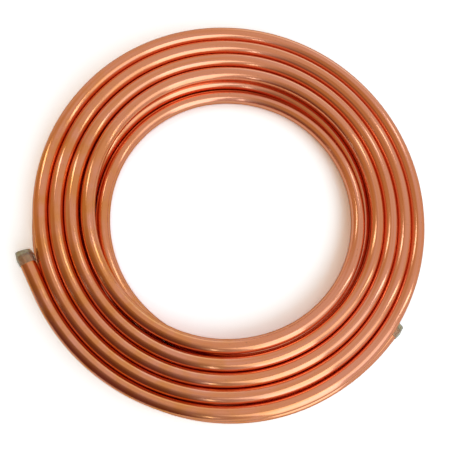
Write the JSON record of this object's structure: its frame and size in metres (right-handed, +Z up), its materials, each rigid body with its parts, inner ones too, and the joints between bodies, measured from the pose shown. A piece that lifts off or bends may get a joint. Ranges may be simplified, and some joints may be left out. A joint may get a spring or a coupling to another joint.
{
  "type": "copper tube coil",
  "caption": "Flat layered coil of soft copper tube, closed at its ends by push-on plastic caps, for running plumbing and refrigeration lines.",
  "frame": {"origin": "middle of the coil's eye, on the floor that the coil lies on", "axes": "+Z up, square to the flat of the coil; -Y towards the viewer, with the upper end of the tube on the -X side"},
  "size_m": [0.6317, 0.6291, 0.0468],
  "materials": {
    "copper": "bright drawn copper, lightly tarnished",
    "cap_plastic": "translucent grey-green soft plastic"
  },
  "bodies": {
    "root": {"copper_tube": "copper", "upper_end_cap": "cap_plastic", "lower_end_cap": "cap_plastic"}
  },
  "joints": []
}
